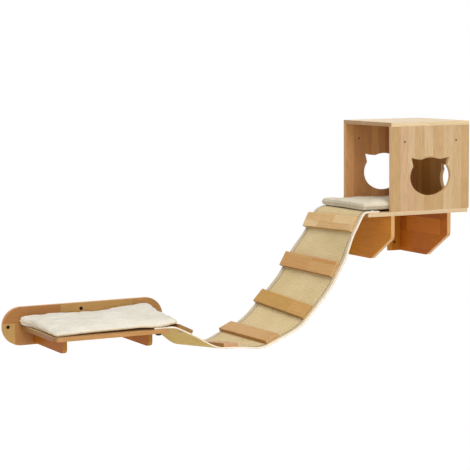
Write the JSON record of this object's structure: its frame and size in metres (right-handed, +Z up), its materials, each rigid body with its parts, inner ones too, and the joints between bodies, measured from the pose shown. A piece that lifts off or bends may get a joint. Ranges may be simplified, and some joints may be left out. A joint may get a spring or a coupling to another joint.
{
  "type": "cat wall bridge",
  "caption": "Wall-mounted cat climbing set: a cushioned wooden perch and an open box house joined by a sagging canvas and sisal bridge with wooden slats.",
  "frame": {"origin": "middle of the perch back plate, on the wall face, which is the middle of its two end screw holes", "axes": "+X along the wall from the perch to the house, +Y into the wall, +Z up"},
  "size_m": [1.7749, 0.35, 0.8288],
  "materials": {
    "perch_wood": "clear satin lacquer on rubberwood",
    "house_wood": "clear satin lacquer on edge-glued rubberwood",
    "bracket_wood": "clear satin lacquer on rubberwood",
    "slat_wood": "clear satin lacquer on rubberwood",
    "dowel_wood": "plain beech, glued",
    "canvas": "heavy cotton canvas",
    "sisal": "woven sisal",
    "cotton": "cotton cover",
    "zinc_steel": "zinc plated",
    "dark_steel": "black oxide"
  },
  "bodies": {
    "wall_frame": {"perch_back_plate": "perch_wood", "perch_shelf": "perch_wood", "perch_arm_left": "perch_wood", "perch_arm_right": "perch_wood", "perch_dowels": "dowel_wood", "perch_plate_screws": "zinc_steel", "house_roof_board": "house_wood", "house_front_panel": "house_wood", "house_back_panel": "house_wood", "house_right_panel": "house_wood", "house_dowels": "dowel_wood", "house_corner_dowels": "dowel_wood", "platform_board": "house_wood", "bracket_gusset_left": "bracket_wood", "bracket_flange_left": "bracket_wood", "bracket_gusset_right": "bracket_wood", "bracket_flange_right": "bracket_wood", "bracket_top_dowels": "dowel_wood", "bracket_flange_dowels": "dowel_wood", "upper_end_washers": "zinc_steel", "upper_end_screws": "zinc_steel", "lower_end_washers": "zinc_steel", "lower_end_bolts": "zinc_steel", "lower_end_cap_nuts": "dark_steel"},
    "bridge_deck": {"bridge_canvas": "canvas", "bridge_sisal_mat": "sisal", "bridge_hem_room": "canvas", "bridge_hem_wall": "canvas", "bridge_slat_1": "slat_wood", "bridge_slat_2": "slat_wood", "bridge_slat_3": "slat_wood", "bridge_slat_4": "slat_wood", "bridge_slat_5": "slat_wood", "bridge_slat_6": "slat_wood", "bridge_slat_screws": "zinc_steel", "bridge_slat_washers": "zinc_steel"},
    "perch_pad": {"perch_cushion": "cotton"},
    "house_pad": {"house_cushion": "cotton"}
  },
  "joints": [
    {"name": "bridge_sway", "type": "hinge", "parent": "wall_frame", "child": "bridge_deck", "pos_m": [0.185, -0.181, 0.003], "axis": [0.9124, 0, 0.4093], "range_deg": [-4, 4], "deforming": ["bridge_canvas", "bridge_sisal_mat", "bridge_hem_room", "bridge_hem_wall"]},
    {"name": "perch_cushion_lift", "type": "slide", "parent": "wall_frame", "child": "perch_pad", "axis": [0, 0, 1], "range_m": [0, 0.25]},
    {"name": "house_cushion_slide", "type": "slide", "parent": "wall_frame", "child": "house_pad", "axis": [-1, 0, 0], "range_m": [-0.145, 0.4]}
  ]
}
